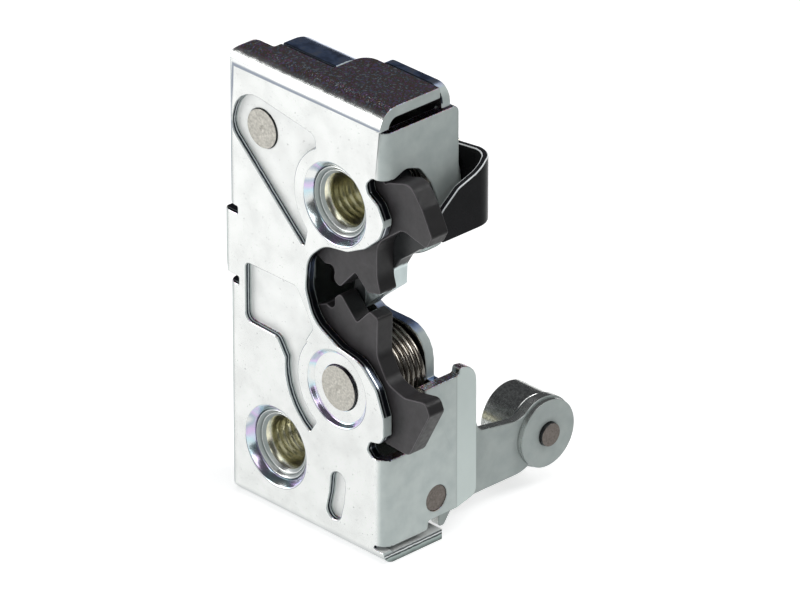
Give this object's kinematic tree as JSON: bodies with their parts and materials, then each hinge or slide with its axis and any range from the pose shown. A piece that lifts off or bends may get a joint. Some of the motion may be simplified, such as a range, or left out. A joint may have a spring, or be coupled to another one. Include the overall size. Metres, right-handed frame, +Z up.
{
  "type": "door latch",
  "caption": "Vehicle door latch standing open: folded plated case with threaded fixing bushes, paired dark hooked rotors with coil springs, a bent strap and a release lever with a roller",
  "frame": {"origin": "on the axis of the upper fixing bush, where its thread begins, 3 mm behind the front face", "axes": "+X towards the side with the mouth, +Y from the front face to the back, +Z up towards the folded top flange"},
  "size_m": [0.061, 0.0584, 0.106],
  "materials": {
    "case_zinc": "bright zinc plate, smooth and slightly bluish",
    "plate_zinc": "zinc plate, satin",
    "bush_steel": "turned steel with a yellowish plating in the thread",
    "rivet_steel": "plain riveted steel, matt",
    "rotor_coating": "dark grey moulded coating, matt",
    "backing_steel": "plated steel, mostly dark coated",
    "strap_black": "gloss black coat",
    "roller_zinc": "bright plated roller",
    "spring_steel": "dark spring steel",
    "buffer_rubber": "matt rubber"
  },
  "bodies": {
    "case": {"front_case": "case_zinc", "back_plate": "plate_zinc", "upper_bush": "bush_steel", "lower_bush": "bush_steel", "lower_rotor_pivot": "rivet_steel", "pawl_shaft": "rivet_steel", "shaft_ring": "spring_steel", "strap_ring": "spring_steel", "striker_buffer": "buffer_rubber", "lever_pin": "rivet_steel", "upper_rotor_spring": "spring_steel", "lower_rotor_spring": "spring_steel", "pawl_spring": "spring_steel", "lever_spring": "spring_steel"},
    "upper_rotor_body": {"upper_rotor": "rotor_coating", "upper_backing_plate": "backing_steel"},
    "lower_rotor_body": {"lower_rotor": "rotor_coating"},
    "pawl_body": {"pawl": "backing_steel", "pawl_hub": "rivet_steel", "drive_arm": "plate_zinc", "drive_stud": "rivet_steel"},
    "strap_body": {"release_strap": "strap_black", "link_stud": "rivet_steel"},
    "link_body": {"release_link": "plate_zinc"},
    "lever_body": {"release_lever": "plate_zinc", "roller_pin": "rivet_steel", "roller_washer": "plate_zinc"},
    "roller_body": {"roller": "roller_zinc"}
  },
  "joints": [
    {"name": "upper_rotor_turn", "type": "hinge", "parent": "case", "child": "upper_rotor_body", "pos_m": [0, 0.0023, 0], "axis": [0, 1, 0], "range_deg": [0, 50], "stiffness_Nm_per_rad": 0.05, "springref_deg": -22.92, "deforming": ["upper_rotor_spring"]},
    {"name": "lower_rotor_turn", "type": "hinge", "parent": "case", "child": "lower_rotor_body", "pos_m": [0.0004, 0.0023, -0.0432], "axis": [0, 1, 0], "range_deg": [-50, 0], "stiffness_Nm_per_rad": 0.05, "springref_deg": 22.92, "deforming": ["lower_rotor_spring"]},
    {"name": "lever_press", "type": "hinge", "parent": "case", "child": "lever_body", "pos_m": [0.01045, 0.0125, -0.0695], "axis": [-1, 0, 0], "range_deg": [0, 9], "stiffness_Nm_per_rad": 0.3, "springref_deg": -8.59, "deforming": ["lever_spring"]},
    {"name": "link_slide", "type": "slide", "parent": "case", "child": "link_body", "axis": [0, 0, -1], "range_m": [0, 0.00154]},
    {"name": "strap_turn", "type": "hinge", "parent": "case", "child": "strap_body", "pos_m": [0, 0.0255, 0], "axis": [0, -1, 0], "range_deg": [0, 4.66]},
    {"name": "pawl_turn", "type": "hinge", "parent": "case", "child": "pawl_body", "pos_m": [-0.0234, 0.002, 0.0088], "axis": [0, 1, 0], "range_deg": [0, 6.14], "deforming": ["pawl_spring"]},
    {"name": "roller_spin", "type": "hinge", "parent": "lever_body", "child": "roller_body", "pos_m": [0.00455, 0.0472, -0.0675], "axis": [1, 0, 0], "continuous": true}
  ],
  "couplings": [
    {"joint": "lower_rotor_turn", "follows": "upper_rotor_turn", "ratio": -1},
    {"joint": "link_slide", "follows": "lever_press", "m_per_rad": 0.0098},
    {"joint": "strap_turn", "follows": "lever_press", "ratio": 0.517},
    {"joint": "pawl_turn", "follows": "lever_press", "ratio": 0.682}
  ]
}
